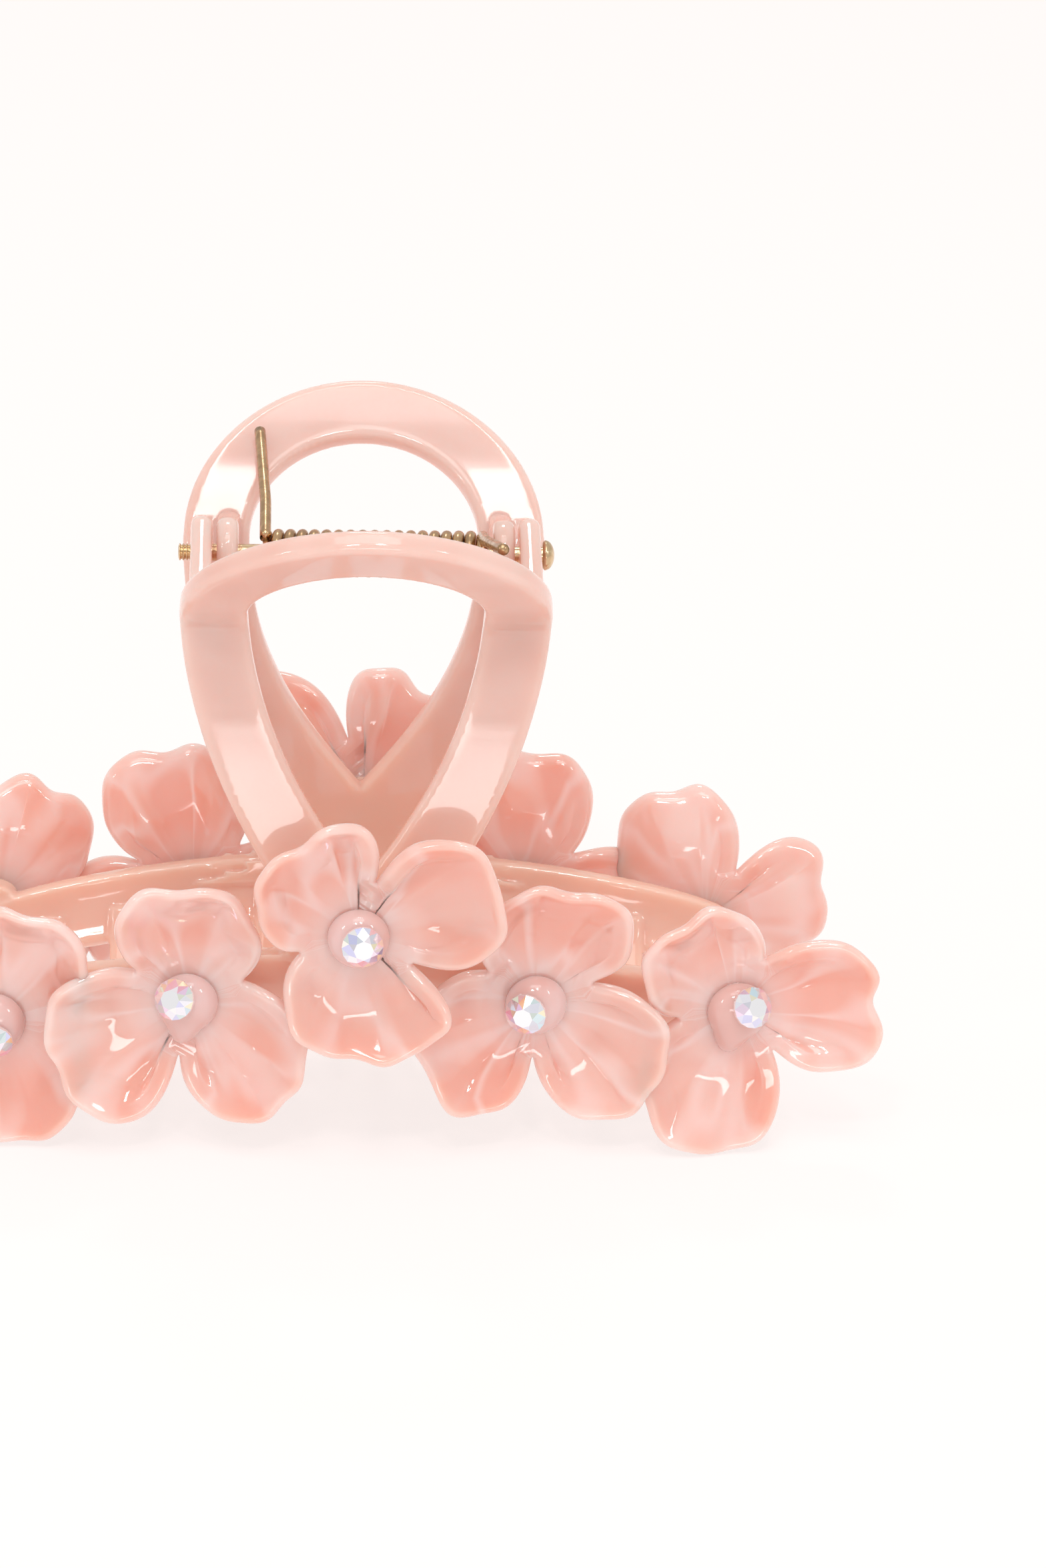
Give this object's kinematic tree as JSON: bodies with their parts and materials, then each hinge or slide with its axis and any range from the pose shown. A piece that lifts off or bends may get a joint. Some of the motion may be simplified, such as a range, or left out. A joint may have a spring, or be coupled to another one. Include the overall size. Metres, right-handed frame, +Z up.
{
  "type": "flower claw hair clip",
  "caption": "Sprung claw hair clip in milky pink resin, with curved toothed jaws, open handle loops and flowers set with cut crystals.",
  "frame": {"origin": "middle of the box that the closed clip fills, on the surface that it stands on", "axes": "+X along the hinge pin towards its domed head, -Y out from the front jaw, +Z up from the teeth to the handles"},
  "size_m": [0.1106, 0.0508, 0.0731],
  "materials": {
    "jaw_resin": "milky translucent pink resin, polished",
    "petal_resin": "marbled salmon and white translucent resin, polished",
    "dome_resin": "lilac-pink translucent resin, polished",
    "gold": "polished gold plate",
    "copper_wire": "drawn spring wire, coppery gold",
    "crystal": "faceted, foiled back with a rainbow coating"
  },
  "bodies": {
    "front_jaw": {"front_jaw": "jaw_resin", "hinge_pin": "gold", "torsion_spring": "copper_wire", "flower_f1": "petal_resin", "dome_f1": "dome_resin", "stone_f1": "crystal", "flower_f2": "petal_resin", "dome_f2": "dome_resin", "stone_f2": "crystal", "flower_f3": "petal_resin", "dome_f3": "dome_resin", "stone_f3": "crystal", "flower_f4": "petal_resin", "dome_f4": "dome_resin", "stone_f4": "crystal", "flower_f5": "petal_resin", "dome_f5": "dome_resin", "stone_f5": "crystal"},
    "back_jaw": {"back_jaw": "jaw_resin", "flower_b1": "petal_resin", "dome_b1": "dome_resin", "stone_b1": "crystal", "flower_b2": "petal_resin", "dome_b2": "dome_resin", "stone_b2": "crystal", "flower_b3": "petal_resin", "dome_b3": "dome_resin", "stone_b3": "crystal", "flower_b4": "petal_resin", "dome_b4": "dome_resin", "stone_b4": "crystal", "flower_b5": "petal_resin", "dome_b5": "dome_resin", "stone_b5": "crystal"}
  },
  "joints": [
    {"name": "jaw_hinge", "type": "hinge", "parent": "front_jaw", "child": "back_jaw", "pos_m": [0, 0, 0.06141], "axis": [1, 0, 0], "range_deg": [0, 85], "stiffness_Nm_per_rad": 0.12, "springref_deg": -45.84, "deforming": ["torsion_spring"]}
  ]
}
